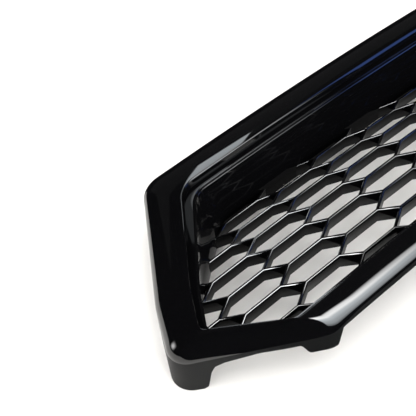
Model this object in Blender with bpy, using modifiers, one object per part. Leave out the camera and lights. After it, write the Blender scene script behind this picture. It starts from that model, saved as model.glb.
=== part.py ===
"""Front grille of a car, lying on its back with its face up: gloss-black surround,
deep insert, honeycomb mesh, and the fasteners behind them. Metres, +Z up.
+X runs along the grille, +Y points up the car when the grille is fitted."""

import bmesh
import bpy
from math import copysign, cos, radians, sin, sqrt, tan
from mathutils import Matrix, Vector

# ---- driving dimensions ----
MESH_TOP = 0.0510        # height of the mesh's front at the middle of the grille
BOW = 0.10               # every front surface drops by BOW * x * x toward the ends
BULGE = 3.77             # the mesh also drops by BULGE * y * y toward its top and bottom
CREST = 0.0270           # bezel crest above MESH_TOP
EDGE = 0.0072            # outer edge of the bezel above MESH_TOP
EDGE_BOTTOM = 0.0144     # the same along the bottom bar
LEDGE = 0.0187           # top of the insert's flange above MESH_TOP
WALL = 0.0025            # moulded wall thickness
FLANGE = 0.0020          # insert flange and wall thickness
CLEAR = 0.0004           # fitting gap between separate pieces

PITCH_X = 0.060          # honeycomb column pitch
PITCH_Y = 0.0216         # honeycomb row pitch
FLAT = 0.0400            # length of a flat rib between its lattice nodes
RIB = 0.0030             # rib width
RIB_DEPTH = 0.0140
RIM = 0.0028             # solid rim round the mesh

TOP_WALL = 0.1368        # outer face of the top wall
BOTTOM_WALL = 0.1044     # the same for the bottom wall, which is at -Y
BACK_DROP = 0.0023       # the bezel's underside below its face
CREST_ROLL = 0.0012      # rounding between the bezel and its inner wall
INNER_WALL = 0.0020      # thickness of that inner wall at its top
LIP_IN = 0.0025          # how far its lower lip leans into the opening, front and back
LIP_BACK = 0.0003
INNER_DROP = 0.0040      # the inner wall's back starts this far below the crest
BEZEL_ANGLES = (90, 68, 46, 24)
BACK_ANGLES = (30, 62, 90)
BOSS_R = 0.0036
BOSS_HOLE_R = 0.0018
BOSS_SINK = 0.0012       # how far a boss goes into the bezel
RETAINER_Z = 0.0155      # height of the push retainers' axes
RETAINER_HOLE_R = 0.0045
TAB_RISE = 0.0050        # from a retainer's axis up to the middle of its tab
TAB = (0.034, 0.0023, 0.026)
TAB_PAD = (0.007, 0.0024, 0.020)
PAD_OFFSET = 0.0125      # from a retainer's axis out to the middle of its tab's pad
PAD_PROUD = 0.0006       # the pads stand out of the wall, and bear on the bumper
HOOK = (0.016, 0.0022, 0.026)
HOOK_PAD = (0.012, 0.0024, 0.007)
HOOK_Y = -0.0855
HOOK_BEVEL = 0.0005
HOOK_PAD_BACK = 0.0007   # the pad's middle behind the hook's, and above the hook's lower end
HOOK_PAD_RISE = 0.0205
FLANGE_SHARE = 0.56      # how far the insert's flange reaches across the bezel
FLANGE_HOLE_R = 0.0021
STEP_DROP = 0.0008       # chamfer of the insert's upper edge
SKIRT_LIP = 0.0012       # the insert's wall stops this far above the mesh
SKIRT_BELOW = 0.0010     # and its skirt ends this far below it
SKIRT_BACK = 0.0002
NECK = 0.0006            # extra thickness where the skirt meets the flange
RIM_PROUD = 0.0006       # the mesh's rim stands out of its front and its back
FENCE_Z = (-0.020, 0.080)
COLUMNS = range(-8, 9)
ROWS = range(-5, 5)

# Left half of each outline, from the top middle to the bottom middle: corners, then fillet radii.
OUTER = ([(0, TOP_WALL), (-0.360, TOP_WALL), (-0.4344, 0.0198), (-0.4608, -0.0339),
          (-0.348, -BOTTOM_WALL), (0, -BOTTOM_WALL)], [0.027, 0.12, 0.019, 0.048])
INNER = ([(0, 0.096), (-0.342, 0.096), (-0.408, 0.0024), (-0.4284, -0.0348),
          (-0.366, -0.0822), (0, -0.0822)], [0.030, 0.12, 0.006, 0.036])
STEP = ([(0, 0.090), (-0.335, 0.090), (-0.402, 0.0012), (-0.4225, -0.0330),
         (-0.3636, -0.0775), (0, -0.0775)], [0.030, 0.12, 0.006, 0.036])
FOOT = ([(0, 0.0735), (-0.318, 0.0735), (-0.4060, -0.0040), (-0.4150, -0.0290),
         (-0.3570, -0.0665), (0, -0.0665)], [0.040, 0.040, 0.008, 0.036])

# Where each straight run of an outline has points, as fractions of the run.
RUNS = [
    [0.0, 0.18, 0.36, 0.54, 0.72, 0.90],
    [0.0, 0.33, 0.66],
    [0.0, 0.40],
    [0.0, 0.055, 0.075, 0.095, 0.115, 0.15, 0.30, 0.60, 0.86, 0.90, 0.94],
    [0.0, 0.015, 0.03, 0.22, 0.41, 0.60, 0.80],
]
ARCS = [4, 1, 4, 3]      # points on each corner

SCREW_SPOTS = [(0.075, 0.1065), (0.190, 0.1065), (0.300, 0.1065),
               (0.075, -0.0885), (0.190, -0.0885), (0.300, -0.0885)]
SHARE_TOP = 0.287        # how far across the bezel's underside the screws are
SHARE_BOTTOM = 0.345
SCREW_HEAD_R = 0.0036
SCREW_HEAD = 0.0026      # height of a screw's head
SCREW_R = 0.0015
SCREW_POINT = 0.0010     # length of its pointed end
HEAD_GAP = 0.0006        # between a screw's head and the flange
TIP_GAP = 0.0012         # between a screw's point and the end of its hole
DRIVE = (0.0034, 0.0008, 0.0022)

RETAINER_X = [0.1155, 0.2640]
RETAINER_BODY = [(0.0024, -0.0125), (0.0030, -0.0125), (0.0052, -0.0060), (0.0042, -0.0035),
                 (0.0042, 0.0004), (0.0078, 0.0004), (0.0078, 0.0014), (0.0064, 0.0022),
                 (0.0024, 0.0022), (0.0024, -0.0125)]
RETAINER_PIN = [(0, -0.0115), (0.0009, -0.0115), (0.0019, -0.0098), (0.0019, 0.0026),
                (0.0050, 0.0026), (0.0050, 0.0034), (0.0036, 0.0041), (0, 0.0043)]
SPLIT = (0.0012, 0.0090, 0.0200)
SPLIT_DEPTH = 0.0108     # middle of the body's slits behind the wall's outer face

CLIP_X = [0.120, 0.250]
CLIP_BEND = [(0.0062, 0.0140), (0.0036, 0.0125), (0.0021, 0.0090), (0.0021, -0.0004),
             (0.0009, -0.0012), (-0.0009, -0.0012), (-0.0021, -0.0004), (-0.0021, 0.0075),
             (-0.0048, 0.0097), (-0.0024, 0.0127), (-0.0040, 0.0145)]
CLIP_WIDTH = 0.0115
CLIP_SHEET = 0.0006

FOAM = (0.660, 0.0048, 0.0044)    # length, width and thickness of a foam strip
FOAM_GAP = 0.0030        # from a wall's inner face to the middle of its strip
FOAM_TOP_Z = 0.0460
FOAM_BOTTOM_Z = 0.0600
FOAM_CUTS = 12
SHARP = 40               # edges that turn by more degrees than this stay sharp when shaded

CENTRE_Y = 0.01835       # from the honeycomb's middle row, where the shapes are drawn, to the box's

parts = bpy.data.collections.new("front_grille")
cutters = bpy.data.collections.new("cutters")
datum = bpy.data.objects.new("honeycomb_middle", None)


def start():
    for obj in list(bpy.data.objects):
        if obj != datum:
            bpy.data.objects.remove(obj, do_unlink=True)
    for collection in (parts, cutters):
        bpy.context.scene.collection.children.link(collection)
    datum.location = (0, -CENTRE_Y, 0)
    parts.objects.link(datum)


def material(name, colour, metallic=0.0, roughness=0.4, coat=0.0):
    made = bpy.data.materials.new(name)
    made.use_nodes = True
    shader = made.node_tree.nodes["Principled BSDF"]
    shader.inputs["Base Color"].default_value = (*colour, 1.0)
    shader.inputs["Metallic"].default_value = metallic
    shader.inputs["Roughness"].default_value = roughness
    shader.inputs["Coat Weight"].default_value = coat
    return made


# ---- outlines ----
def moved_out(corners, by):
    """The open polygon of corners with each side moved out by a distance."""
    sides = []
    for (ax, ay), (bx, by_) in zip(corners[:-1], corners[1:]):
        run = Vector((bx - ax, by_ - ay)).normalized()
        out = Vector((run.y, -run.x))
        sides.append((Vector((ax, ay)) + out * by, run))
    moved = []
    for (p, u), (q, v) in zip(sides[:-1], sides[1:]):
        cross = u.x * v.y - u.y * v.x
        along = ((q.x - p.x) * v.y - (q.y - p.y) * v.x) / cross
        moved.append(p + u * along)
    first = Vector((0, sides[0][0].y))
    last = Vector((0, sides[-1][0].y))
    return [first, *moved, last]


def outline(shape, by=0.0):
    """Closed loop of (x, y): the half outline with its fillets, then its mirror image."""
    corners, radii = shape
    corners = moved_out(corners, by)
    turns = []
    for before, at, after, radius, count in zip(corners, corners[1:], corners[2:], radii, ARCS):
        u = (before - at).normalized()
        v = (after - at).normalized()
        half = u.angle(v) / 2
        radius = max(radius + by, 0.002)
        middle = at + (u + v).normalized() * (radius / sin(half))
        start_at = at + u * (radius / tan(half))
        end_at = at + v * (radius / tan(half))
        sweep = (start_at - middle).angle_signed(end_at - middle)
        arc = []
        for i in range(count + 1):
            spoke = start_at - middle
            spoke.rotate(Matrix.Rotation(-sweep * i / count, 2))
            arc.append(middle + spoke)
        turns.append(arc)
    half_loop = []
    here = corners[0]
    for run, arc in zip(RUNS, turns + [[corners[-1]]]):
        half_loop += [here.lerp(arc[0], fraction) for fraction in run]
        half_loop += arc[:-1]
        here = arc[-1]
    half_loop.append(here)
    mirrored = [Vector((-p.x, p.y)) for p in half_loop[-2:0:-1]]
    return half_loop + mirrored


def blend(first, second, share):
    return [p.lerp(q, share) for p, q in zip(first, second)]


def smooth(value, low, high):
    t = min(max((value - low) / (high - low), 0.0), 1.0)
    return t * t * (3 - 2 * t)


def bowed(loop, height):
    return [Vector((p.x, p.y, MESH_TOP + height - BOW * p.x * p.x)) for p in loop]


def mesh_height(x, y):
    return MESH_TOP - BOW * x * x - BULGE * y * y


def edge_height(p):
    """The bezel's outer edge: higher along the bottom bar."""
    bottom = smooth(-p.y, 0.088, 0.104) * smooth(0.366 - abs(p.x), 0.0, 0.050)
    return EDGE + (EDGE_BOTTOM - EDGE) * bottom


def crowned(loop_in, loop_out, angle, drop=0.0):
    """A ring of the bezel: a quarter ellipse from the crest (0) to the outer edge (90 degrees)."""
    ring = []
    for p, q in zip(loop_in, loop_out):
        edge = edge_height(q) - drop
        at = p.lerp(q, sin(radians(angle)))
        height = edge + (CREST - drop - edge) * cos(radians(angle))
        ring.append(Vector((at.x, at.y, MESH_TOP + height - BOW * at.x * at.x)))
    return ring


def steps(value, table):
    """Straight-line look-up in a table of (value, result)."""
    for (a, ra), (b, rb) in zip(table, table[1:]):
        if value <= b:
            return ra + (rb - ra) * (value - a) / (b - a)
    return table[-1][1]


def wall_bottom(p):
    """Height of the outer wall's lower edge: feet at the corners, tabs on the top wall."""
    x = abs(p.x)
    bowed_by = BOW * x * x
    if p.y > 0.120:
        return steps(x, [(0.0, 0.026), (0.3000, 0.022), (0.3420, 0.0), (0.45, 0.0)])
    if p.y > -0.015:
        return steps(p.y, [(-0.015, 0.0), (0.004, 0.0), (0.012, 0.022), (0.085, 0.022),
                           (0.108, 0.0), (0.2, 0.0)])
    if x > 0.4000:
        return steps(-x, [(-0.50, 0.0), (-0.4400, 0.0), (-0.4365, 0.0030), (-0.4340, 0.0200),
                          (-0.4310, 0.0285), (-0.4240, 0.0325), (-0.4000, 0.0375)])
    notch = MESH_TOP - bowed_by + steps(-x, [(-0.4000, 0.0025), (-0.3800, 0.0010), (-0.30, 0.0010)])
    foot = MESH_TOP - bowed_by - 0.0112
    bar = MESH_TOP - bowed_by + 0.0076
    if x > 0.3560:
        return notch + (foot - notch) * smooth(-x, -0.3720, -0.3640)
    return foot + (bar - foot) * smooth(-x, -0.3440, -0.3380)


def faced_out(work):
    bmesh.ops.recalc_face_normals(work, faces=work.faces)
    if work.calc_volume(signed=True) < 0:
        bmesh.ops.reverse_faces(work, faces=work.faces)


def added(name, work, surface, at=(0, 0, 0), turn=(0, 0, 0)):
    """A new object from a finished bmesh. With no surface it is a hidden cutter."""
    mesh = bpy.data.meshes.new(name)
    work.to_mesh(mesh)
    work.free()
    mesh.shade_smooth()
    mesh.set_sharp_from_angle(angle=radians(SHARP))
    obj = bpy.data.objects.new(name, mesh)
    obj.parent = datum
    obj.location = at
    obj.rotation_euler = turn
    if surface:
        obj.data.materials.append(surface)
        parts.objects.link(obj)
    else:
        obj.hide_render = True
        obj.display_type = "WIRE"
        cutters.objects.link(obj)
    return obj


def lofted(name, rings, surface):
    """One closed body through closed rings of points, the last ring joined to the first."""
    work = bmesh.new()
    loops = [[work.verts.new(p) for p in ring] for ring in rings]
    for low, high in zip(loops, loops[1:] + loops[:1]):
        for i in range(len(low)):
            j = (i + 1) % len(low)
            work.faces.new((low[i], low[j], high[j], high[i]))
    faced_out(work)
    return added(name, work, surface)


def prism(name, loop, low, high, surface=None):
    """A closed outline carried straight up from one height to another."""
    work = bmesh.new()
    base = work.faces.new([work.verts.new((p.x, p.y, low)) for p in loop])
    grown = bmesh.ops.extrude_face_region(work, geom=[base])["geom"]
    risen = [v for v in grown if isinstance(v, bmesh.types.BMVert)]
    bmesh.ops.translate(work, vec=(0, 0, high - low), verts=risen)
    faced_out(work)
    return added(name, work, surface)


def turned(name, profile, sides, surface=None, at=(0, 0, 0), turn=(0, 0, 0)):
    """A profile of (radius, z) turned round Z by a Screw modifier."""
    work = bmesh.new()
    points = [work.verts.new((radius, 0, z)) for radius, z in profile]
    for a, b in zip(points, points[1:]):
        work.edges.new((a, b))
    obj = added(name, work, surface, at, turn)
    screw = obj.modifiers.new("Turn", "SCREW")
    screw.steps = sides
    screw.render_steps = sides
    screw.use_merge_vertices = True
    screw.merge_threshold = 0.00005
    screw.use_normal_calculate = True
    return obj


def cylinder(name, radius, depth, sides, at, turn=(0, 0, 0)):
    """A cutter with its base at a point, along its own Z."""
    work = bmesh.new()
    bmesh.ops.create_cone(work, cap_ends=True, segments=sides, radius1=radius, radius2=radius,
                          depth=depth, matrix=Matrix.Translation((0, 0, depth / 2)))
    return added(name, work, None, at, turn)


def block(name, size, at, turn=(0, 0, 0), bevel=0.0):
    """A cutter: a box centred on a point."""
    work = bmesh.new()
    bmesh.ops.create_cube(work, size=1.0, matrix=Matrix.Diagonal((*size, 1.0)))
    if bevel:
        bmesh.ops.bevel(work, geom=work.edges, offset=bevel, segments=1, affect="EDGES")
    return added(name, work, None, at, turn)


def boolean(obj, operation, tool):
    modifier = obj.modifiers.new(operation.title() + "_" + tool.name, "BOOLEAN")
    modifier.operation = operation
    modifier.solver = "EXACT"
    modifier.object = tool


# ---- surround ----
def screw_points():
    """(x, y, height of the bezel's underside) of each screw."""
    for side in (-1, 1):
        for x, y in SCREW_SPOTS:
            share, edge = (SHARE_BOTTOM, EDGE_BOTTOM) if y < 0 else (SHARE_TOP, EDGE)
            low = edge - BACK_DROP
            rise = (CREST - BACK_DROP - low) * sqrt(1 - share * share)
            yield side * x, y, MESH_TOP + low + rise - BOW * x * x


def both_sides(places):
    """(tag, x) of each mirrored pair of places along the grille."""
    for side, letter in ((-1, "l"), (1, "r")):
        for number, x in enumerate(places, 1):
            yield f"{number}{letter}", side * x


def make_surround(surface):
    outer = outline(OUTER)
    outer_back = outline(OUTER, -WALL)
    inner = outline(INNER)
    inner_back = outline(INNER, INNER_WALL)
    surround = lofted("surround", [
        [Vector((p.x, p.y, wall_bottom(p))) for p in outer],
        *[crowned(inner, outer, angle) for angle in BEZEL_ANGLES],
        bowed(outline(INNER, CREST_ROLL), CREST),
        bowed(inner, CREST - CREST_ROLL),
        bowed(outline(INNER, -LIP_IN), LEDGE + CLEAR),
        bowed(outline(INNER, -LIP_BACK), LEDGE + CLEAR),
        bowed(inner_back, CREST - INNER_DROP),
        *[crowned(inner_back, outer_back, angle, BACK_DROP) for angle in BACK_ANGLES],
        [Vector((q.x, q.y, wall_bottom(p))) for p, q in zip(outer, outer_back)],
    ], surface)
    flange_top = MESH_TOP + LEDGE
    for number, (x, y, top) in enumerate(screw_points(), 1):
        low = flange_top - BOW * x * x + CLEAR
        boss = cylinder(f"boss_{number}", BOSS_R, top + BOSS_SINK - low, 12, (x, y, low))
        boolean(surround, "UNION", boss)
    for number, (x, y, top) in enumerate(screw_points(), 1):
        low = flange_top - BOW * x * x - CLEAR
        hole = cylinder(f"boss_hole_{number}", BOSS_HOLE_R, top - CLEAR - low, 8, (x, y, low))
        boolean(surround, "DIFFERENCE", hole)
    for tag, x in both_sides(RETAINER_X):
        middle_z = RETAINER_Z + TAB_RISE
        tab = block(f"tab_{tag}", TAB, (x, TOP_WALL - WALL / 2, middle_z))
        boolean(surround, "UNION", tab)
        pad_at = (x + copysign(PAD_OFFSET, x), TOP_WALL + PAD_PROUD - TAB_PAD[1] / 2, middle_z)
        boolean(surround, "UNION", block(f"tab_pad_{tag}", TAB_PAD, pad_at))
        through = 4 * WALL
        at = (x, TOP_WALL + through / 2, RETAINER_Z)
        hole = cylinder(f"retainer_hole_{tag}", RETAINER_HOLE_R, through, 12, at,
                        (radians(90), 0, 0))
        boolean(surround, "DIFFERENCE", hole)


# ---- insert ----
def on_mesh(loop, lift):
    return [Vector((p.x, p.y, mesh_height(p.x, p.y) + lift)) for p in loop]


def make_insert(surface):
    flange = blend(outline(INNER), outline(OUTER, -WALL), FLANGE_SHARE)
    foot = outline(FOOT)
    foot_back = outline(FOOT, FLANGE)
    insert = lofted("insert_frame", [
        bowed(flange, LEDGE),
        bowed(outline(STEP, FLANGE), LEDGE),
        bowed(outline(STEP), LEDGE - STEP_DROP),
        on_mesh(foot, SKIRT_LIP),
        on_mesh(foot, -RIB_DEPTH - SKIRT_BELOW),
        on_mesh(foot_back, -RIB_DEPTH - SKIRT_BELOW),
        on_mesh(foot_back, SKIRT_BACK),
        bowed(outline(STEP, FLANGE + NECK), LEDGE - FLANGE),
        bowed(flange, LEDGE - FLANGE),
    ], surface)
    for number, (x, y, _) in enumerate(screw_points(), 1):
        low = MESH_TOP + LEDGE - BOW * x * x - 2 * FLANGE
        hole = cylinder(f"flange_hole_{number}", FLANGE_HOLE_R, 4 * FLANGE, 8, (x, y, low))
        boolean(insert, "DIFFERENCE", hole)
    for tag, x in both_sides(CLIP_X):
        hook_at = (x, HOOK_Y, hook_low(x) + HOOK[2] / 2)
        boolean(insert, "UNION", block(f"hook_{tag}", HOOK, hook_at, bevel=HOOK_BEVEL))
        pad_at = (x, HOOK_Y - HOOK_PAD_BACK, hook_low(x) + HOOK_PAD_RISE)
        boolean(insert, "UNION", block(f"hook_pad_{tag}", HOOK_PAD, pad_at))


def hook_low(x):
    """Height of the lower end of a hook: its upper end is inside the flange."""
    return MESH_TOP + LEDGE - FLANGE / 2 - BOW * x * x - HOOK[2]


# ---- honeycomb ----
def make_mesh(surface):
    work = bmesh.new()
    known = {}

    def node(x, y):
        key = (round(x, 5), round(y, 5))
        if key not in known:
            known[key] = work.verts.new((x, y, 0))
        return known[key]

    tip = PITCH_X - FLAT / 2
    hexagon = [(-FLAT / 2, PITCH_Y / 2), (-tip, 0), (-FLAT / 2, -PITCH_Y / 2),
               (FLAT / 2, -PITCH_Y / 2), (tip, 0), (FLAT / 2, PITCH_Y / 2)]
    for column in COLUMNS:
        for row in ROWS:
            x = column * PITCH_X
            y = (row + column % 2 / 2) * PITCH_Y
            work.faces.new([node(x + dx, y + dy) for dx, dy in hexagon])
    work.normal_update()
    cells = list(work.faces)
    bmesh.ops.inset_individual(work, faces=cells, thickness=RIB / 2, use_even_offset=True)
    bmesh.ops.delete(work, geom=cells, context="FACES")
    for v in work.verts:
        v.co.z = mesh_height(v.co.x, v.co.y)
    grown = bmesh.ops.extrude_face_region(work, geom=list(work.faces))["geom"]
    lowered = [v for v in grown if isinstance(v, bmesh.types.BMVert)]
    bmesh.ops.translate(work, vec=(0, 0, -RIB_DEPTH), verts=lowered)
    faced_out(work)
    mesh = added("honeycomb_mesh", work, surface)

    outside = outline(FOOT, -CLEAR)
    inside = outline(FOOT, -RIM - CLEAR)
    fence = prism("mesh_fence", outline(FOOT, -RIM / 2 - CLEAR), *FENCE_Z)
    back = -RIB_DEPTH - RIM_PROUD
    rim = lofted("mesh_rim", [on_mesh(outside, RIM_PROUD), on_mesh(inside, RIM_PROUD),
                              on_mesh(inside, back), on_mesh(outside, back)], None)
    boolean(mesh, "INTERSECT", fence)
    boolean(mesh, "UNION", rim)


# ---- fasteners ----
def make_screws(surface):
    """Cross-recess screws that hold the insert to the surround's bosses from behind."""
    for number, (x, y, top) in enumerate(screw_points(), 1):
        seat = MESH_TOP + LEDGE - FLANGE - BOW * x * x - HEAD_GAP
        tip = top - TIP_GAP - seat
        profile = [(0, -SCREW_HEAD), (SCREW_HEAD_R * 0.83, -SCREW_HEAD * 0.88),
                   (SCREW_HEAD_R, -SCREW_HEAD * 0.3), (SCREW_HEAD_R, 0.0), (SCREW_R, 0.0),
                   (SCREW_R, tip - SCREW_POINT), (SCREW_R * 0.4, tip), (0, tip)]
        screw = turned(f"screw_{number:02d}", profile, 8, surface, (x, y, seat))
        for turn in (0, 90):
            arm = block(f"drive_{number:02d}_{turn}", DRIVE, (x, y, seat - SCREW_HEAD),
                        (0, 0, radians(turn)))
            boolean(screw, "DIFFERENCE", arm)


def make_retainers(body_surface, pin_surface):
    """Push retainers in the top wall: a split body with a head, and a pin that slides along Y."""
    outward = (radians(-90), 0, 0)
    for tag, x in both_sides(RETAINER_X):
        at = (x, TOP_WALL, RETAINER_Z)
        shell = turned(f"retainer_body_{tag}", RETAINER_BODY, 12, body_surface, at, outward)
        for turn in (0, 90):
            slit = block(f"split_{tag}_{turn}", SPLIT, (x, TOP_WALL - SPLIT_DEPTH, RETAINER_Z),
                         (0, radians(turn), 0))
            boolean(shell, "DIFFERENCE", slit)
        turned(f"retainer_pin_{tag}", RETAINER_PIN, 12, pin_surface, at, outward)


def make_clips(surface):
    """Spring clips pushed over the lower hooks of the insert: a bent strip with Solidify."""
    ends = (-CLIP_WIDTH / 2, CLIP_WIDTH / 2)
    for tag, x in both_sides(CLIP_X):
        work = bmesh.new()
        rows = [[work.verts.new((end, y, z)) for end in ends] for y, z in CLIP_BEND]
        for a, b in zip(rows, rows[1:]):
            work.faces.new((a[0], a[1], b[1], b[0]))
        clip = added(f"spring_clip_{tag}", work, surface, (x, HOOK_Y, hook_low(x)))
        thick = clip.modifiers.new("Sheet", "SOLIDIFY")
        thick.thickness = CLIP_SHEET
        thick.offset = 0.0


def make_seals(surface):
    """Foam anti-rattle strips on the back of the top and bottom walls, bowed like the bezel."""
    length, width, thickness = FOAM
    inset = WALL + FOAM_GAP
    for name, y, height in (("foam_strip_top", TOP_WALL - inset, FOAM_TOP_Z),
                            ("foam_strip_bottom", inset - BOTTOM_WALL, FOAM_BOTTOM_Z)):
        work = bmesh.new()
        bmesh.ops.create_grid(work, x_segments=FOAM_CUTS, y_segments=1, size=0.5)
        bmesh.ops.scale(work, vec=(length, width, 1.0), verts=work.verts)
        for v in work.verts:
            v.co.z = -BOW * v.co.x * v.co.x
        strip = added(name, work, surface, (0, y, height))
        thick = strip.modifiers.new("Foam", "SOLIDIFY")
        thick.thickness = thickness
        thick.offset = 0.0


start()
make_surround(material("gloss_black", (0.006, 0.006, 0.007), 0.0, 0.06, 0.6))
make_insert(material("insert_black", (0.007, 0.007, 0.008), 0.0, 0.10, 0.4))
make_mesh(material("mesh_black", (0.008, 0.008, 0.009), 0.0, 0.12, 0.4))
make_screws(material("zinc_steel", (0.62, 0.62, 0.60), 1.0, 0.35))
make_retainers(material("black_nylon", (0.020, 0.020, 0.020), 0.0, 0.55),
               material("grey_nylon", (0.050, 0.050, 0.052), 0.0, 0.50))
make_clips(material("spring_steel", (0.30, 0.31, 0.33), 1.0, 0.40))
make_seals(material("grey_foam", (0.060, 0.060, 0.062), 0.0, 0.95))
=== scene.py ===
"""Looks of the front grille: fine skins for its surround, insert and honeycomb, procedural
materials, softboxes and camera. Metres, +Z up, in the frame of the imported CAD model."""

from math import cos, pi, radians, sin, tan

import bmesh
import bpy
from mathutils import Matrix, Vector


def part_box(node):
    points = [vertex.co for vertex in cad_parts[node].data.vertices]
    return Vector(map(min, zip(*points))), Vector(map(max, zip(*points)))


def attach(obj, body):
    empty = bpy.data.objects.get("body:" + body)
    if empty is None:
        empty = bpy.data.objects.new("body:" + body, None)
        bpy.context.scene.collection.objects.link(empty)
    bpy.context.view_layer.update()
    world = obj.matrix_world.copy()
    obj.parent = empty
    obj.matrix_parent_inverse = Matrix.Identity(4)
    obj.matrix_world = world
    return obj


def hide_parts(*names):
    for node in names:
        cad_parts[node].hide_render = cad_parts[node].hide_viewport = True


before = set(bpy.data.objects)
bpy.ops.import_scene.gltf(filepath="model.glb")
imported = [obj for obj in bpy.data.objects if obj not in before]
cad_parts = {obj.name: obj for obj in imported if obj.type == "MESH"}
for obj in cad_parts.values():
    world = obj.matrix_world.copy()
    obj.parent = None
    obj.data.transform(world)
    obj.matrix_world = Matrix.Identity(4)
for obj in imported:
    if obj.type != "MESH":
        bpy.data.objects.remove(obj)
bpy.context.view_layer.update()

# ---- driving dimensions, as in the CAD model ----
BOW = 0.10               # every front surface drops by BOW * x * x toward the ends
BULGE = 3.77             # the mesh also drops by BULGE * y * y toward its top and bottom
CREST = 0.0270           # bezel crest above the mesh's front
EDGE = 0.0072            # outer edge of the bezel
EDGE_BOTTOM = 0.0144     # the same along the bottom bar
LEDGE = 0.0187           # top of the insert's flange
WALL = 0.0025            # moulded wall thickness
FLANGE = 0.0020          # insert flange and wall thickness
TOP_WALL = 0.1368        # outer face of the top wall, from the honeycomb's middle row
BOTTOM_WALL = 0.1044

PITCH_X = 0.060          # honeycomb column pitch
PITCH_Y = 0.0216         # honeycomb row pitch
FLAT = 0.0400            # length of a flat rib between its lattice nodes
RIB = 0.0030
RIB_DEPTH = 0.0140
BACK_DROP = 0.0023       # the bezel's underside below its face
INNER_WALL = 0.0020      # thickness of the bezel's inner wall at its top
INNER_DROP = 0.0040      # the inner wall's back starts this far below the crest
CLEAR = 0.0004           # fitting gap between separate pieces
FLANGE_SHARE = 0.56      # how far the insert's flange reaches across the bezel
SCREW_SPOTS = [(0.075, 0.1065), (0.190, 0.1065), (0.300, 0.1065),
               (0.075, -0.0885), (0.190, -0.0885), (0.300, -0.0885)]
RETAINER_X = [0.1155, 0.2640]
RETAINER_Z = 0.0155      # height of the push retainers' axes
CLIP_X = [0.120, 0.250]
HOOK = (0.016, 0.0022, 0.026)
HOOK_Y = -0.0855

lowest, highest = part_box("surround")
MIDDLE_Y = lowest.y + BOTTOM_WALL
MESH_TOP = highest.z - CREST

# Left half of each outline, from the top middle to the bottom middle: corners, then fillet radii.
# The last bend of the first three is tighter than in the CAD model, as the picture shows it.
OUTER = ([(0, TOP_WALL), (-0.360, TOP_WALL), (-0.4344, 0.0198), (-0.4607, -0.0339),
          (-0.348, -BOTTOM_WALL), (0, -BOTTOM_WALL)], [0.027, 0.12, 0.019, 0.020])
INNER = ([(0, 0.096), (-0.342, 0.096), (-0.408, 0.0024), (-0.4284, -0.0348),
          (-0.366, -0.0822), (0, -0.0822)], [0.030, 0.12, 0.006, 0.012])
STEP = ([(0, 0.090), (-0.335, 0.090), (-0.402, 0.0012), (-0.4225, -0.0330),
         (-0.3636, -0.0775), (0, -0.0775)], [0.030, 0.12, 0.006, 0.012])
FOOT = ([(0, 0.0735), (-0.318, 0.0735), (-0.4060, -0.0040), (-0.4150, -0.0290),
         (-0.3570, -0.0665), (0, -0.0665)], [0.040, 0.040, 0.008, 0.036])
RUN_POINTS = [90, 36, 16, 60, 90]    # points on each straight run of a half outline
ARC_POINTS = [18, 10, 12, 16]        # points on each of its corners

# ---- fine shapes that the CAD model makes plainer ----
RIB_ROUND = 0.0014       # rounding of the ribs' front edges across a rib
RIB_FALL = 0.0018        # and down its sides
SIDE_X = 0.385           # the grille's two sides lie past this, and its bars within it
SIDE_RUN = 0.050         # a value changes from the sides' to the bars' over this length
MIDDLE_X = 0.27          # a rounding starts to grow here toward the middle of the bars
MIDDLE_RUN = 0.16        # and is full after this length
BEZEL_ROLL = (0.0012, 0.0015, 0.0060)    # rounding of the bezel's inner edge: sides, bars, middle
UPPER_ROLL = (0.0003, 0.0005, 0.0006)    # the same for the insert's upper step
LOWER_ROLL = (0.0003, 0.0006, 0.0020)    # and for its lower step
LIP_IN = 0.0008          # how far the bezel's lower lip leans into the opening, front and back
LIP_BACK = 0.0003
FLANGE_FALL = 0.0007     # the insert's flange falls by this to its upper step
SIDE_LIFT = 0.0011       # and that step is higher by this along the sides
UPPER_FOOT = 0.0019      # foot of the upper step, below LEDGE
LOWER_DROP = 0.0023      # top of the lower step, below LEDGE
LOWER_IN = 0.0022        # the lower step lies this far inside the upper one
WALL_LOW = 0.0012        # the insert's sloping wall ends this far above the mesh's front
SKIRT = 0.0010           # and its foot goes on this far below the ribs
SKIN_SHARP = radians(50)    # bends past this angle stay sharp on the large skins
FINE_SHARP = radians(35)    # and on the small pieces


# ---- outlines ----
def moved_out(corners, by):
    """The open polygon of corners with each side moved out by a distance."""
    sides = []
    for a, b in zip(corners[:-1], corners[1:]):
        start = Vector(a)
        run = (Vector(b) - start).normalized()
        sides.append((start + Vector((run.y, -run.x)) * by, run))
    moved = []
    for (p, u), (q, v) in zip(sides[:-1], sides[1:]):
        cross = u.x * v.y - u.y * v.x
        along = ((q.x - p.x) * v.y - (q.y - p.y) * v.x) / cross
        moved.append(p + u * along)
    first = Vector((0, sides[0][0].y))
    last = Vector((0, sides[-1][0].y))
    return [first, *moved, last]


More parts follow.
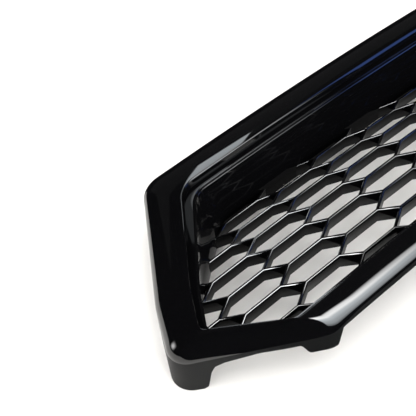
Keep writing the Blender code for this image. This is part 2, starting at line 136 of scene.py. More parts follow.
def outline(shape, by=0.0):
    """Closed loop of (x, y): the half outline with its fillets, then its mirror image."""
    corners, radii = shape
    corners = moved_out(corners, by)
    half_loop = []
    here = corners[0]
    places = zip(corners, corners[1:], corners[2:], radii, ARC_POINTS, RUN_POINTS)
    for before, at, after, radius, arc_points, run_points in places:
        u = (before - at).normalized()
        v = (after - at).normalized()
        half = u.angle(v) / 2
        radius = max(radius + by, 0.002)
        middle = at + (u + v).normalized() * (radius / sin(half))
        start = at + u * (radius / tan(half))
        end = at + v * (radius / tan(half))
        sweep = (start - middle).angle_signed(end - middle)
        half_loop += [here.lerp(start, i / run_points) for i in range(run_points)]
        for i in range(arc_points):
            spoke = start - middle
            spoke.rotate(Matrix.Rotation(-sweep * i / arc_points, 2))
            half_loop.append(middle + spoke)
        here = end
    last = RUN_POINTS[-1]
    half_loop += [here.lerp(corners[-1], i / last) for i in range(last + 1)]
    mirrored = [Vector((-p.x, p.y)) for p in half_loop[-2:0:-1]]
    return half_loop + mirrored


def blend(first, second, share):
    return [p.lerp(q, share) for p, q in zip(first, second)]


def smooth(value, low, high):
    t = min(max((value - low) / (high - low), 0.0), 1.0)
    return t * t * (3 - 2 * t)


def bowed(loop, height):
    return [Vector((p.x, p.y, MESH_TOP + height - BOW * p.x * p.x)) for p in loop]


def mesh_height(x, y):
    return MESH_TOP - BOW * x * x - BULGE * y * y


def on_mesh(loop, lift):
    return [Vector((p.x, p.y, mesh_height(p.x, p.y) + lift)) for p in loop]


def edge_height(p):
    """The bezel's outer edge: higher along the bottom bar."""
    bottom = smooth(-p.y, 0.088, 0.104) * smooth(0.366 - abs(p.x), 0.0, 0.050)
    return EDGE + (EDGE_BOTTOM - EDGE) * bottom


def crowned(loop_in, loop_out, angle, drop=0.0):
    """A ring of the bezel: a quarter ellipse from the crest (0) to the outer edge (90 degrees)."""
    ring = []
    for p, q in zip(loop_in, loop_out):
        edge = edge_height(q) - drop
        at = p.lerp(q, sin(radians(angle)))
        height = edge + (CREST - drop - edge) * cos(radians(angle))
        ring.append(Vector((at.x, at.y, MESH_TOP + height - BOW * at.x * at.x)))
    return ring


def steps(value, table):
    """Straight-line look-up in a table of (value, result)."""
    for (a, ra), (b, rb) in zip(table, table[1:]):
        if value <= b:
            return ra + (rb - ra) * (value - a) / (b - a)
    return table[-1][1]


def wall_bottom(p):
    """Height of the outer wall's lower edge: feet at the corners, tabs on the top wall."""
    x = abs(p.x)
    bowed_by = BOW * x * x
    if p.y > 0.120:
        return steps(x, [(0.0, 0.026), (0.3000, 0.022), (0.3420, 0.0), (0.45, 0.0)])
    if p.y > -0.015:
        return steps(p.y, [(-0.015, 0.0), (0.004, 0.0), (0.012, 0.022), (0.085, 0.022),
                           (0.108, 0.0), (0.2, 0.0)])
    if x > 0.4000:
        return steps(-x, [(-0.50, 0.0), (-0.4400, 0.0), (-0.4365, 0.0030), (-0.4340, 0.0200),
                          (-0.4310, 0.0285), (-0.4240, 0.0325), (-0.4000, 0.0375)])
    notch = MESH_TOP - bowed_by + steps(-x, [(-0.4000, 0.0025), (-0.3800, 0.0010), (-0.30, 0.0010)])
    foot = MESH_TOP - bowed_by - 0.0112
    bar = MESH_TOP - bowed_by + 0.0076
    if x > 0.3560:
        return notch + (foot - notch) * smooth(-x, -0.3720, -0.3640)
    return foot + (bar - foot) * smooth(-x, -0.3440, -0.3380)


# ---- making pieces ----
def piece(name, work, body, slot, *surfaces):
    """A smooth-shaded object from a bmesh, that rides on a body of the CAD model."""
    mesh = bpy.data.meshes.new(name)
    work.to_mesh(mesh)
    work.free()
    mesh.shade_smooth()
    obj = bpy.data.objects.new(name, mesh)
    obj.location = (0, MIDDLE_Y, 0)
    bpy.context.scene.collection.objects.link(obj)
    for surface in surfaces:
        mesh.materials.append(surface)
    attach(obj, body)
    return obj


def loft(rings, bands=None):
    """A closed skin through closed rings of points. bands gives the material of each band."""
    work = bmesh.new()
    loops = [[work.verts.new(p) for p in ring] for ring in rings]
    for number, (low, high) in enumerate(zip(loops, loops[1:] + loops[:1])):
        for i in range(len(low)):
            j = (i + 1) % len(low)
            face = work.faces.new((low[i], low[j], high[j], high[i]))
            face.material_index = bands[number] if bands else 0
    bmesh.ops.recalc_face_normals(work, faces=work.faces)
    return work


def along_bars(p):
    """1 along the grille's bars, falling to 0 along its two sides."""
    return smooth(SIDE_X - abs(p.x), 0.0, SIDE_RUN)


def rolled(shape, height, rolls):
    """Rings that round an outline's edge from its top to its inner wall.

    rolls is the rounding along the sides, along the bars and in the middle of the bars."""
    at_sides, at_bars, at_middle = rolls
    sharp = outline(shape)
    wide = outline(shape, at_middle)
    rings = []
    for angle in range(0, 91, 10):
        turn = radians(angle)
        ring = []
        for p, q in zip(sharp, wide):
            here = at_sides + (at_bars - at_sides) * along_bars(p)
            here += (at_middle - at_bars) * smooth(MIDDLE_X - abs(p.x), 0.0, MIDDLE_RUN)
            at = p.lerp(q, here / at_middle * (1 - sin(turn)))
            drop = here * (1 - cos(turn)) + BOW * at.x * at.x
            ring.append(Vector((at.x, at.y, MESH_TOP + height - drop)))
        rings.append(ring)
    return rings


def raised_at_sides(rings, lift):
    """The rings, lifted along the two sides of the grille."""
    for ring in rings:
        for p in ring:
            p.z += lift * (1 - along_bars(p))
    return rings


def make_surround(gloss, matt):
    """The bezel, its outer wall and its back: the face is glossy, and the rest is matt."""
    outer = outline(OUTER)
    outer_back = outline(OUTER, -WALL)
    inner = outline(INNER)
    inner_back = outline(INNER, INNER_WALL)
    low = [Vector((p.x, p.y, wall_bottom(p))) for p in outer]
    edge = crowned(inner, outer, 90)
    rings = [low]
    rings += [[a.lerp(b, share) for a, b in zip(low, edge)] for share in (0.03, 0.5, 0.97)]
    face_start = len(rings)
    rings += [crowned(inner, outer, angle) for angle in range(90, 12, -5)]
    rings += rolled(INNER, CREST, BEZEL_ROLL)
    rings.append(bowed(outline(INNER, -LIP_IN), LEDGE + CLEAR))
    rings.append(bowed(outline(INNER, -LIP_BACK), LEDGE + CLEAR))
    back_start = len(rings)
    rings.append(bowed(inner_back, CREST - INNER_DROP))
    rings += [crowned(inner_back, outer_back, angle, BACK_DROP) for angle in (30, 62, 90)]
    rings.append([Vector((q.x, q.y, p.z)) for p, q in zip(low, outer_back)])
    bands = [0 if face_start <= i < back_start else 1 for i in range(len(rings))]
    skin = piece("surround_skin", loft(rings, bands), "grille", "gloss_black", gloss, matt)
    skin.data.set_sharp_from_angle(angle=SKIN_SHARP)
    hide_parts("surround")


def make_insert(gloss):
    """The flange under the bezel, two steps and the wall down to the mesh, with their back."""
    flange = blend(outline(INNER), outline(OUTER, -WALL), FLANGE_SHARE)
    foot = outline(FOOT)
    foot_back = outline(FOOT, FLANGE)
    rings = [bowed(flange, LEDGE), bowed(outline(INNER), LEDGE)]
    rings += raised_at_sides(rolled(STEP, LEDGE - FLANGE_FALL, UPPER_ROLL), SIDE_LIFT)
    rings.append(bowed(outline(STEP, -0.0001), LEDGE - UPPER_FOOT))
    corners, radii = STEP
    lower_step = ([tuple(p) for p in moved_out(corners, -LOWER_IN)],
                  [max(radius - LOWER_IN, 0.004) for radius in radii])
    rings += rolled(lower_step, LEDGE - LOWER_DROP, LOWER_ROLL)
    top = rings[-1]
    base = on_mesh(foot, WALL_LOW)
    rings += [[a.lerp(b, share) for a, b in zip(top, base)] for share in (0.25, 0.5, 0.75)]
    lowest_edge = -RIB_DEPTH - SKIRT
    rings += [base, on_mesh(foot, lowest_edge), on_mesh(foot_back, lowest_edge),
              on_mesh(foot_back, 0.0002), bowed(outline(STEP, FLANGE + 0.0006), LEDGE - FLANGE),
              bowed(flange, LEDGE - FLANGE)]
    skin = piece("insert_skin", loft(rings), "grille", "insert_black", gloss)
    skin.data.set_sharp_from_angle(angle=SKIN_SHARP)
    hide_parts("insert_frame")


def make_honeycomb(gloss):
    """A flat sheet of hexagons, inset into ribs, thickened, rounded and bent onto the mesh's bulge."""
    work = bmesh.new()
    known = {}

    def node(x, y):
        key = (round(x, 5), round(y, 5))
        if key not in known:
            known[key] = work.verts.new((x, y, 0))
        return known[key]

    tip = PITCH_X - FLAT / 2
    hexagon = [(-FLAT / 2, PITCH_Y / 2), (-tip, 0), (-FLAT / 2, -PITCH_Y / 2),
               (FLAT / 2, -PITCH_Y / 2), (tip, 0), (FLAT / 2, PITCH_Y / 2)]
    for column in range(-8, 9):
        for row in range(-5, 5):
            x = column * PITCH_X
            y = (row + column % 2 / 2) * PITCH_Y
            work.faces.new([node(x + dx, y + dy) for dx, dy in hexagon])
    work.normal_update()
    cells = list(work.faces)
    bmesh.ops.inset_individual(work, faces=cells, thickness=RIB / 2, use_even_offset=True)
    rims = [loop_edge for cell in cells for loop_edge in cell.edges]
    bmesh.ops.delete(work, geom=cells, context="FACES_ONLY")
    grown = bmesh.ops.extrude_face_region(work, geom=list(work.faces))["geom"]
    lowered = [v for v in grown if isinstance(v, bmesh.types.BMVert)]
    bmesh.ops.translate(work, vec=(0, 0, -RIB_DEPTH), verts=lowered)
    bmesh.ops.recalc_face_normals(work, faces=work.faces)
    bmesh.ops.bevel(work, geom=rims, offset=RIB_ROUND, segments=6, profile=0.5, affect="EDGES")
    for v in work.verts:
        if v.co.z > -RIB_DEPTH / 2:
            v.co.z *= RIB_FALL / RIB_ROUND
        v.co.z += mesh_height(v.co.x, v.co.y)
    skin = piece("honeycomb_skin", work, "grille", "mesh_black", gloss)

    # A tall block with the outline of the insert's foot cuts the ribs off within the insert's wall.
    fence_mesh = bmesh.new()
    low, tall = -0.05, 0.15
    corners = [fence_mesh.verts.new((p.x, p.y, low)) for p in outline(FOOT, 0.0008)]
    base = fence_mesh.faces.new(corners)
    risen = bmesh.ops.extrude_face_region(fence_mesh, geom=[base])["geom"]
    upper = [v for v in risen if isinstance(v, bmesh.types.BMVert)]
    bmesh.ops.translate(fence_mesh, vec=(0, 0, tall), verts=upper)
    bmesh.ops.recalc_face_normals(fence_mesh, faces=fence_mesh.faces)
    fence = piece("fence", fence_mesh, "grille", "mesh_black")
    trim = skin.modifiers.new("Fence", "BOOLEAN")
    trim.operation = "INTERSECT"
    trim.object = fence
    graph = bpy.context.evaluated_depsgraph_get()
    shape = bpy.data.meshes.new_from_object(skin.evaluated_get(graph))
    skin.modifiers.clear()
    skin.data = shape
    bpy.data.objects.remove(fence)
    skin.data.set_sharp_from_angle(angle=SKIN_SHARP)
    skin.modifiers.new("Even_normals", "WEIGHTED_NORMAL").keep_sharp = True
    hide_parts("honeycomb_mesh")


def turned(profile, sides, turn):
    """A bmesh from a profile of (radius, z) spun round Z, then turned."""
    work = bmesh.new()
    points = [work.verts.new((radius, 0, z)) for radius, z in profile]
    edges = [work.edges.new(pair) for pair in zip(points, points[1:])]
    bmesh.ops.spin(work, geom=points + edges, cent=(0, 0, 0), axis=(0, 0, 1), angle=2 * pi,
                   steps=sides, use_merge=True)
    bmesh.ops.remove_doubles(work, verts=work.verts, dist=0.000001)
    bmesh.ops.recalc_face_normals(work, faces=work.faces)
    bmesh.ops.transform(work, matrix=turn, verts=work.verts)
    return work


def rounded(profile, radius=0.00025, points=3):
    """The profile with its inner corners rounded."""
    soft = [profile[0]]
    for before, at, after in zip(profile, profile[1:], profile[2:]):
        here = Vector(at)
        back, ahead = Vector(before) - here, Vector(after) - here
        reach = min(radius, back.length * 0.4, ahead.length * 0.4)
        first, last = here + back.normalized() * reach, here + ahead.normalized() * reach
        for i in range(points):
            share = i / (points - 1)
            soft.append(tuple(first.lerp(here, share).lerp(here.lerp(last, share), share)))
    return soft + [profile[-1]]


def joined(works):
    """One bmesh of several."""
    whole = bmesh.new()
    for work in works:
        mesh = bpy.data.meshes.new("joined")
        work.to_mesh(mesh)
        work.free()
        whole.from_mesh(mesh)
        bpy.data.meshes.remove(mesh)
    return whole


def plate(size, at, bevel):
    """A block with rounded edges."""
    work = bmesh.new()
    bmesh.ops.create_cube(work, size=1.0, matrix=Matrix.Diagonal((*size, 1.0)))
    bmesh.ops.bevel(work, geom=work.edges, offset=bevel, segments=3, profile=0.5, affect="EDGES")
    bmesh.ops.translate(work, vec=at, verts=work.verts)
    return work


def cut(obj, name, work):
    """Cuts a bmesh's shape out of an object and keeps the result."""
    tool = piece(name, work, "grille", "mesh_black")
    modifier = obj.modifiers.new("Cut", "BOOLEAN")
    modifier.operation = "DIFFERENCE"
    modifier.solver = "EXACT"
    modifier.object = tool
    settled(obj)
    bpy.data.objects.remove(tool)


def settled(obj):
    """Applies an object's modifiers and marks its sharp edges again."""
    graph = bpy.context.evaluated_depsgraph_get()
    shape = bpy.data.meshes.new_from_object(obj.evaluated_get(graph))
    obj.modifiers.clear()
    obj.data = shape
    shape.shade_smooth()
    shape.set_sharp_from_angle(angle=FINE_SHARP)


# ---- fasteners ----
def screw_points():
    """(x, y, height of the bezel's underside) of each screw."""
    for side in (-1, 1):
        for x, y in SCREW_SPOTS:
            share, edge = (0.345, EDGE_BOTTOM) if y < 0 else (0.287, EDGE)
            low = edge - BACK_DROP
            rise = (CREST - BACK_DROP - low) * (1 - share * share) ** 0.5
            yield side * x, y, MESH_TOP + low + rise - BOW * x * x


def both_sides(places):
    """(tag, x) of each mirrored pair of places along the grille."""
    for side, letter in ((-1, "l"), (1, "r")):
        for number, x in enumerate(places, 1):
            yield f"{number}{letter}", side * x


def make_bosses(matt):
    """The hollow bosses under the bezel, each with four small gussets round its foot."""
    works = []
    bore, body, flare = 0.0018, 0.0036, 0.0048
    gusset_long, gusset_thick, gusset_out = 0.0030, 0.0010, 0.0050
    for x, y, top in screw_points():
        low = MESH_TOP + LEDGE - BOW * x * x + CLEAR
        tall = top + 0.0008 - low
        profile = rounded([(bore, tall), (bore, 0), (body, 0), (body, tall - 0.0016), (flare, tall)])
        works.append(turned(profile, 32, Matrix.Translation((x, y, low))))
        for out_x, out_y in ((-1, 0), (1, 0), (0, -1), (0, 1)):
            size = (gusset_long if out_x else gusset_thick, gusset_long if out_y else gusset_thick,
                    tall * 0.5)
            at = (x + out_x * gusset_out, y + out_y * gusset_out, low + tall * 0.75)
            works.append(plate(size, at, 0.0003))
    bosses = piece("surround_bosses", joined(works), "grille", "gloss_black", matt)
    bosses.data.set_sharp_from_angle(angle=FINE_SHARP)
    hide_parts("surround")


def make_tabs(matt):
    """Tabs on the top wall for the retainers, each with gussets and a pad that bears on the bumper."""
    works = []
    tab, pad, gusset = (0.034, 0.0023, 0.026), (0.007, 0.0024, 0.020), (0.0014, 0.0060, 0.0180)
    middle_z = RETAINER_Z + 0.0050
    for _, x in both_sides(RETAINER_X):
        outward = 1 if x > 0 else -1
        works.append(plate(tab, (x, TOP_WALL - WALL / 2, middle_z), 0.0006))
        works.append(plate(pad, (x + outward * 0.0125, TOP_WALL - 0.0006, middle_z), 0.00025))
        for side in (-1, 1):
            at = (x + side * 0.0150, TOP_WALL - WALL - 0.0020, middle_z)
            works.append(plate(gusset, at, 0.0004))
    tabs = piece("surround_tabs", joined(works), "grille", "gloss_black", matt)
    tabs.data.set_sharp_from_angle(angle=FINE_SHARP)
    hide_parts("surround")


def hook_low(x):
    """Height of the lower end of a hook: its upper end is inside the flange."""
    return MESH_TOP + LEDGE - FLANGE / 2 - BOW * x * x - HOOK[2]


def make_hooks(surface):
    """Hooks under the insert's lower flange, that carry the spring clips, with a pad on each."""
    works = []
    pad, gusset = (0.012, 0.0024, 0.007), (0.0012, 0.0050, 0.0070)
    for _, x in both_sides(CLIP_X):
        low = hook_low(x)
        works.append(plate(HOOK, (x, HOOK_Y, low + HOOK[2] / 2), 0.0005))
        works.append(plate(pad, (x, HOOK_Y - 0.0007, low + 0.0205), 0.0003))
        for side in (-1, 1):
            at = (x + side * 0.0066, HOOK_Y + 0.0025, low + 0.0215)
            works.append(plate(gusset, at, 0.0003))
    hooks = piece("insert_hooks", joined(works), "grille", "insert_black", surface)
    hooks.data.set_sharp_from_angle(angle=FINE_SHARP)
    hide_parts("insert_frame")


def make_screws(zinc):
    """Threaded screws with a domed head and a crossed drive."""
    head = [(0, -0.0026), (0.0018, -0.0025), (0.0030, -0.0020), (0.0036, -0.0009), (0.0036, 0.0),
            (0.0014, 0.0)]
    core, crest, pitch = 0.0013, 0.0017, 0.0006
    for number, (x, y, top) in enumerate(screw_points(), 1):
        seat = MESH_TOP + LEDGE - FLANGE - BOW * x * x - 0.0006
        tip = top - 0.0012 - seat
        threads = []
        z = 0.0008
        while z < tip - 0.0016:
            threads += [(core, z), (crest, z + pitch / 2)]
            z += pitch
        profile = [*head, *threads, (core, tip - 0.001), (0.0006, tip), (0, tip)]
        name = f"screw_{number:02d}"
        work = turned(profile, 32, Matrix.Translation((x, y, seat)))
        screw = piece(name + "_fine", work, "grille", "zinc_steel", zinc)
        for size in ((0.0034, 0.0008, 0.0022), (0.0008, 0.0034, 0.0022)):
            cut(screw, "drive", plate(size, (x, y, seat - 0.0026), 0.0001))
        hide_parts(name)


def make_retainers(body_surface, pin_surface):
    """Split push-retainer bodies in the tabs, and the pins that slide in them."""
    body = [(0.0024, -0.0125), (0.0030, -0.0125), (0.0052, -0.0060), (0.0042, -0.0035),
            (0.0042, 0.0004), (0.0078, 0.0004), (0.0078, 0.0014), (0.0064, 0.0022),
            (0.0024, 0.0022), (0.0024, -0.0125)]
    pin = [(0, -0.0115), (0.0009, -0.0115), (0.0019, -0.0098), (0.0019, 0.0026),
           (0.0050, 0.0026), (0.0050, 0.0034), (0.0036, 0.0041), (0, 0.0043)]
    for tag, x in both_sides(RETAINER_X):
        outward = Matrix.Translation((x, TOP_WALL, RETAINER_Z)) @ Matrix.Rotation(radians(-90), 4, "X")
        work = turned(rounded(body), 48, outward)
        shell = piece(f"retainer_body_{tag}_fine", work, "grille", "black_nylon", body_surface)
        for size in ((0.0012, 0.0090, 0.0200), (0.0200, 0.0090, 0.0012)):
            cut(shell, "split", plate(size, (x, TOP_WALL - 0.0108, RETAINER_Z), 0.0001))
        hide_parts(f"retainer_body_{tag}")
        work = turned(rounded(pin), 48, outward)
        plug = piece(f"retainer_pin_{tag}_fine", work, f"pin_{tag}", "grey_nylon", pin_surface)
        dent = plate((0.0052, 0.0010, 0.0008), (x, TOP_WALL + 0.0043, RETAINER_Z), 0.0001)
        cut(plug, "dent", dent)
        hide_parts(f"retainer_pin_{tag}")


def make_clips(steel):
    """Spring clips: a bent strip with two relief slots in its back, rounded at the bends."""
    bend = [(0.0062, 0.0140), (0.0036, 0.0125), (0.0021, 0.0090), (0.0021, -0.0004),
            (0.0009, -0.0012), (-0.0009, -0.0012), (-0.0021, -0.0004), (-0.0021, 0.0075),
            (-0.0048, 0.0097), (-0.0024, 0.0127), (-0.0040, 0.0145)]
    bend = rounded(bend, 0.0010, 5)
    for tag, x in both_sides(CLIP_X):
        work = bmesh.new()
        across = (-0.00575, -0.0030, -0.0012, 0.0012, 0.0030, 0.00575)
        base = hook_low(x)
        rows = [[work.verts.new((x + end, HOOK_Y + y, base + z)) for end in across] for y, z in bend]
        for low, high in zip(rows, rows[1:]):
            at = low[0].co
            slotted = at.y < HOOK_Y - 0.0019 and base + 0.002 < at.z < base + 0.0094
            for i in range(len(across) - 1):
                if not (slotted and i in (1, 3)):
                    work.faces.new((low[i], low[i + 1], high[i + 1], high[i]))
        bmesh.ops.recalc_face_normals(work, faces=work.faces)
        clip = piece(f"spring_clip_{tag}_fine", work, "grille", "spring_steel", steel)
        thick = clip.modifiers.new("Sheet", "SOLIDIFY")
        thick.thickness = 0.0006
        thick.offset = 0.0
        settled(clip)
        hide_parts(f"spring_clip_{tag}")


def make_seals(foam):
    """Foam strips with soft edges and ends: a squarish section, drawn along the bowed walls."""
    length, half_wide, half_tall, squareness = 0.660, 0.0024, 0.0022, 0.35
    sides, stations = 16, 133
    for name, y, height in (("foam_strip_top", TOP_WALL - WALL - 0.0030, 0.0460),
                            ("foam_strip_bottom", 0.0030 + WALL - BOTTOM_WALL, 0.0600)):
        rings = []
        for i in range(stations):
            x = length * (i / (stations - 1) - 0.5)
            end = min(1.0, (length / 2 - abs(x)) / 0.0025 * 0.5 + 0.5)
            ring = []
            for k in range(sides):
                turn = 2 * pi * k / sides
                wide = abs(cos(turn)) ** squareness * (1 if cos(turn) > 0 else -1)
                tall = abs(sin(turn)) ** squareness * (1 if sin(turn) > 0 else -1)
                z = height + tall * half_tall * end - BOW * x * x
                ring.append(Vector((x, y + wide * half_wide * end, z)))
            rings.append(ring)
        work = bmesh.new()
        loops = [[work.verts.new(p) for p in ring] for ring in rings]
        for low, high in zip(loops, loops[1:]):
            for k in range(sides):
                j = (k + 1) % sides
                work.faces.new((low[k], low[j], high[j], high[k]))
        work.faces.new(loops[0])
        work.faces.new(loops[-1][::-1])
        bmesh.ops.recalc_face_normals(work, faces=work.faces)
        strip = piece(name + "_fine", work, "grille", "grey_foam", foam)
        strip.data.set_sharp_from_angle(angle=radians(60))
        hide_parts(name)


# ---- materials ----
def moulded(name, colour, worn, metallic, roughness, patches, grain):
    """A surface whose colour and gloss drift in patches of a given scale, over a fine grain.

    roughness is its lowest and highest value, and grain is a noise's scale, strength and height."""
    made = bpy.data.materials.new(name)
    made.use_nodes = True
    nodes, links = made.node_tree.nodes, made.node_tree.links
    shader = nodes["Principled BSDF"]
    shader.inputs["Metallic"].default_value = metallic
    place = nodes.new("ShaderNodeTexCoord")
    drift = nodes.new("ShaderNodeTexNoise")
    drift.inputs["Scale"].default_value = patches
    drift.inputs["Detail"].default_value = 4.0
    links.new(place.outputs["Object"], drift.inputs["Vector"])
    tint = nodes.new("ShaderNodeMix")
    tint.data_type = "RGBA"
    tint.inputs["A"].default_value = (*colour, 1.0)
    tint.inputs["B"].default_value = (*worn, 1.0)
    links.new(drift.outputs["Fac"], tint.inputs["Factor"])
    links.new(tint.outputs["Result"], shader.inputs["Base Color"])
    gloss_range = nodes.new("ShaderNodeMapRange")
    for socket, value in zip(("From Min", "From Max", "To Min", "To Max"), (0.3, 0.7, *roughness)):
        gloss_range.inputs[socket].default_value = value
    links.new(drift.outputs["Fac"], gloss_range.inputs["Value"])
    links.new(gloss_range.outputs["Result"], shader.inputs["Roughness"])
    fine = nodes.new("ShaderNodeTexNoise")
    fine.inputs["Scale"].default_value = grain[0]
    fine.inputs["Detail"].default_value = 3.0
    links.new(place.outputs["Object"], fine.inputs["Vector"])
    bump = nodes.new("ShaderNodeBump")
    bump.inputs["Strength"].default_value = grain[1]
    bump.inputs["Distance"].default_value = grain[2]
    links.new(fine.outputs["Fac"], bump.inputs["Height"])
    links.new(bump.outputs["Normal"], shader.inputs["Normal"])
    return made


# ---- camera, lights and floor ----
def make_camera():
    camera = bpy.data.objects.new("camera", bpy.data.cameras.new("camera"))
    bpy.context.scene.collection.objects.link(camera)
    bpy.context.scene.camera = camera
    camera.data.sensor_width = 36
    camera.data.lens = 70.64
    camera.data.clip_start = 0.01
    camera.location = (-0.6306, MIDDLE_Y - 0.3624, 0.5819)
    camera.rotation_euler = (radians(44.431), radians(5.130), radians(-39.691))


def softbox(name, aim, toward, away, size, radiance, colour=(1, 1, 1), reflected=True):
    """A rectangular light at a distance from a point, in a direction, turned to face the point.

    The gloss shows the reflected ones, and the others light the floor and the matt surfaces."""
    light = bpy.data.lights.new(name, "AREA")
    light.shape = "RECTANGLE"
    light.size, light.size_y = size
    light.energy = radiance * pi * size[0] * size[1]
    light.color = colour
    lamp = bpy.data.objects.new(name, light)
    lamp.location = Vector(aim) + Vector(toward).normalized() * away
    lamp.rotation_euler = (-Vector(toward)).to_track_quat("-Z", "Y").to_euler()
    lamp.visible_glossy = reflected
    lamp.visible_diffuse = not reflected
    lamp.visible_camera = False
    bpy.context.scene.collection.objects.link(lamp)
    return lamp


def ramp(nodes, links, value, stops):
    """A smooth ramp of (place, brightness, tint) stops along a value from 0 to 1."""
    made = nodes.new("ShaderNodeValToRGB")
    made.color_ramp.interpolation = "EASE"
    elements = made.color_ramp.elements
    while len(elements) < len(stops):
        elements.new(0.5)
    for element, (place, bright, tint) in zip(elements, stops):
        element.position = place
        element.color = (*(bright * part for part in tint), 1)
    links.new(value, made.inputs["Fac"])
    return made.outputs["Color"]


def shaded(lamp, across, upward):
    """Makes a softbox's brightness vary across it and up it."""
    lamp.data.use_nodes = True
    nodes, links = lamp.data.node_tree.nodes, lamp.data.node_tree.links
    place = nodes.new("ShaderNodeNewGeometry")
    split = nodes.new("ShaderNodeSeparateXYZ")
    links.new(place.outputs["Parametric"], split.inputs["Vector"])
    product = nodes.new("ShaderNodeMix")
    product.data_type = "RGBA"
    product.blend_type = "MULTIPLY"
    product.inputs["Factor"].default_value = 1.0
    links.new(ramp(nodes, links, split.outputs["X"], across), product.inputs["A"])
    links.new(ramp(nodes, links, split.outputs["Y"], upward), product.inputs["B"])
    links.new(product.outputs["Result"], nodes["Emission"].inputs["Color"])


def make_floor(surface):
    """A plain floor in two parts, with walls round it.

    Only the part near the grille shows in its gloss."""
    across = [-12.0, -0.75, -0.36, 0.75, 12.0]
    along = [-12.0, -0.11, 0.11, 0.34, 12.0]
    floor_z, wall_tall = -0.0002, 6.9
    close = {(1, 1), (2, 1), (1, 2)}
    cells = {(i, k) for i in range(4) for k in range(4)}
    for name, chosen in (("floor_near", close), ("floor_far", cells - close)):
        work = bmesh.new()
        for i, k in sorted(chosen):
            corners = [(i, k), (i + 1, k), (i + 1, k + 1), (i, k + 1)]
            work.faces.new([work.verts.new((across[a], along[b], floor_z)) for a, b in corners])
        if name == "floor_far":
            ends = [(across[0], along[0]), (across[-1], along[0]), (across[-1], along[-1]),
                    (across[0], along[-1])]
            for a, b in zip(ends, ends[1:] + ends[:1]):
                corners = [(*a, 0), (*b, 0), (*b, wall_tall), (*a, wall_tall)]
                work.faces.new([work.verts.new(p) for p in corners])
        mesh = bpy.data.meshes.new(name)
        work.to_mesh(mesh)
        work.free()
        mesh.materials.append(surface)
        floor = bpy.data.objects.new(name, mesh)
        floor.visible_glossy = name == "floor_near"
        bpy.context.scene.collection.objects.link(floor)


def painted_shade_by_depth(surface, top, bulge, stops):
    """Paints shade into a surface by making its gloss depend on the depth below a bowed front, in (metres,
    gloss) stops.
    """
    nodes, links = surface.node_tree.nodes, surface.node_tree.links
    place = nodes.new("ShaderNodeTexCoord")
    split = nodes.new("ShaderNodeSeparateXYZ")
    links.new(place.outputs["Object"], split.inputs["Vector"])

    def maths(operation, first, second):
        made = nodes.new("ShaderNodeMath")
        made.operation = operation
        for socket, value in zip(made.inputs, (first, second)):
            if isinstance(value, float):
                socket.default_value = value
            else:
                links.new(value, socket)
        return made.outputs["Value"]

    bow = maths("MULTIPLY", maths("POWER", split.outputs["X"], 2.0), BOW)
    swell = maths("MULTIPLY", maths("POWER", split.outputs["Y"], 2.0), bulge)
    risen = maths("ADD", maths("ADD", bow, swell), split.outputs["Z"])
    deepest = stops[-1][0]
    depth = maths("DIVIDE", maths("SUBTRACT", top, risen), deepest)
    shades = nodes.new("ShaderNodeValToRGB")
    elements = shades.color_ramp.elements
    while len(elements) < len(stops):
        elements.new(0.5)
    for element, (below, bright) in zip(elements, stops):
        element.position = below / deepest
        element.color = (bright, bright, bright, 1)
    links.new(depth, shades.inputs["Fac"])
    # Painted shade: the depth ramp sets how strongly the surface reflects, so deeper parts render darker.
    links.new(shades.outputs["Color"], nodes["Principled BSDF"].inputs["Specular IOR Level"])


BLACK = (0.0012, 0.0012, 0.0014)
WORN_BLACK = (0.0018, 0.0018, 0.0021)
gloss = moulded("gloss_black", BLACK, WORN_BLACK, 0, (0.035, 0.06), 9.0, (350.0, 0.03, 0.0001))
insert_gloss = moulded("insert_black", BLACK, WORN_BLACK, 0, (0.045, 0.06), 14.0, (420.0, 0.010, 0.0001))
mesh_gloss = moulded("mesh_black", BLACK, (0.0020, 0.0020, 0.0022), 0, (0.05, 0.09),
                     18.0, (500.0, 0.05, 0.0001))
matt = moulded("matt_black", (0.0045, 0.0048, 0.0048), (0.0070, 0.0070, 0.0070), 0, (0.38, 0.48),
               25.0, (2600.0, 0.35, 0.0001))
zinc = moulded("zinc_steel", (0.62, 0.62, 0.60), (0.50, 0.51, 0.46), 1, (0.22, 0.42),
               220.0, (3000.0, 0.15, 0.0001))
steel = moulded("spring_steel", (0.26, 0.27, 0.29), (0.16, 0.16, 0.17), 1, (0.28, 0.50),
                160.0, (2500.0, 0.15, 0.0001))
nylon = moulded("black_nylon", (0.018, 0.018, 0.018), (0.028, 0.028, 0.028), 0, (0.42, 0.58),
                120.0, (2800.0, 0.20, 0.0001))
pin_nylon = moulded("grey_nylon", (0.048, 0.048, 0.050), (0.062, 0.062, 0.064), 0, (0.40, 0.55),
                    120.0, (2800.0, 0.20, 0.0001))
foam = moulded("grey_foam", (0.050, 0.050, 0.052), (0.085, 0.085, 0.088), 0, (0.90, 0.99),
               60.0, (1400.0, 1.0, 0.0006))
floor_surface = moulded("pale_floor", (0.80, 0.785, 0.76), (0.81, 0.795, 0.77), 0, (0.80, 0.90),
                        3.0, (200.0, 0.02, 0.0001))
matt.node_tree.nodes["Principled BSDF"].inputs["Specular IOR Level"].default_value = 0.08
# Painted shade: the ribs' fronts are glossy and their walls are made to reflect much less, darkening the
# recesses between the ribs.
painted_shade_by_depth(mesh_gloss, MESH_TOP, BULGE,
               [(0.0, 0.95), (0.0009, 0.95), (0.0016, 0.03), (0.0050, 0.05), (0.0090, 0.14), (0.0140, 0.18)])
# Painted shade: the insert's steps are glossy, and its flange above them and its wall below them are made to
# reflect less, darkening the recess down to the mesh.
painted_shade_by_depth(insert_gloss, MESH_TOP + LEDGE, 0.0,
               [(0.0, 0.03), (0.0006, 0.03), (0.0009, 0.60), (0.0036, 0.60), (0.0055, 0.08), (0.0600, 0.04)])

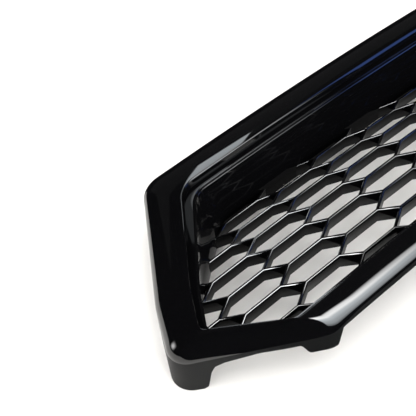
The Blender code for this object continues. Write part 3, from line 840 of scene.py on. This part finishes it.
make_surround(gloss, matt)
make_insert(insert_gloss)
make_honeycomb(mesh_gloss)
make_bosses(matt)
make_tabs(matt)
make_hooks(insert_gloss)
make_screws(zinc)
make_retainers(nylon, pin_nylon)
make_clips(steel)
make_seals(foam)
make_camera()
make_floor(floor_surface)

# ---- lights: the first six show only in the gloss, and the others light only what is not glossy ----
FAR_BAR = (-0.315, 0.075, 0.07)
LOW_CORNER = (-0.45, -0.045, 0.048)
WHITE = (1, 1, 1)
COOL = (0.90, 0.96, 1.0)
BLUE = (0.16, 0.32, 1.0)
front = softbox("front", (-0.105, -0.418, 0.55), (0, -1, 0), 0.001, (0.65, 1.10), 20)
shaded(front, [(0.0, 1.2, WHITE), (0.45, 1.0, WHITE), (0.75, 0.55, WHITE), (1.0, 0.0, WHITE)],
       [(0.0, 0.12, COOL), (0.12, 0.34, COOL), (0.26, 0.55, COOL), (0.43, 1.0, WHITE),
        (0.60, 0.9, WHITE), (1.0, 0.0, WHITE)])
softbox("front_blue", (0.44, -0.418, 0.35), (0, -1, 0), 0.001, (0.36, 0.70), 2.8, BLUE)
softbox("far_left", FAR_BAR, (0.36, 0.58, 0.71), 0.40, (0.10, 0.17), 5.4, COOL)
softbox("room_back", (0, 0, 0.05), (0.30, 0.85, 0.42), 1.5, (2.2, 1.0), 0.05)
softbox("room_top", (0, 0, 0.05), (0.10, 0.05, 1.0), 1.6, (1.6, 1.6), 0.03)
corner = softbox("low_corner", LOW_CORNER, (-0.78, 0.60, 0.17), 0.5, (0.26, 0.26), 10)
SOFT_SPOT = [(0.0, 0.0, WHITE), (0.5, 1.0, WHITE), (1.0, 0.0, WHITE)]
shaded(corner, SOFT_SPOT, SOFT_SPOT)
softbox("overhead", (0, 0, 0), (-0.1, -0.25, 1), 1.6, (0.7, 0.7), 3.5, reflected=False)
softbox("ceiling", (0, 0, 0), (0, 0, 1), 7.0, (23.0, 23.0), 1.3, reflected=False)
for side, toward, radiance in (("left", (-1, 0.1, 0.30), 3), ("back", (0.1, 1, 0.30), 7),
                               ("front", (-0.1, -1, 0.32), 8), ("right", (1, -0.1, 0.30), 4)):
    softbox("floor_" + side, (-0.2, 0, 0), toward, 1.9, (2.4, 0.8), radiance, reflected=False)
world = bpy.data.worlds.new("studio")
bpy.context.scene.world = world
world.use_nodes = True
world.node_tree.nodes["Background"].inputs["Color"].default_value = (0.005, 0.005, 0.0055, 1)
bpy.context.scene.view_settings.view_transform = "Standard"
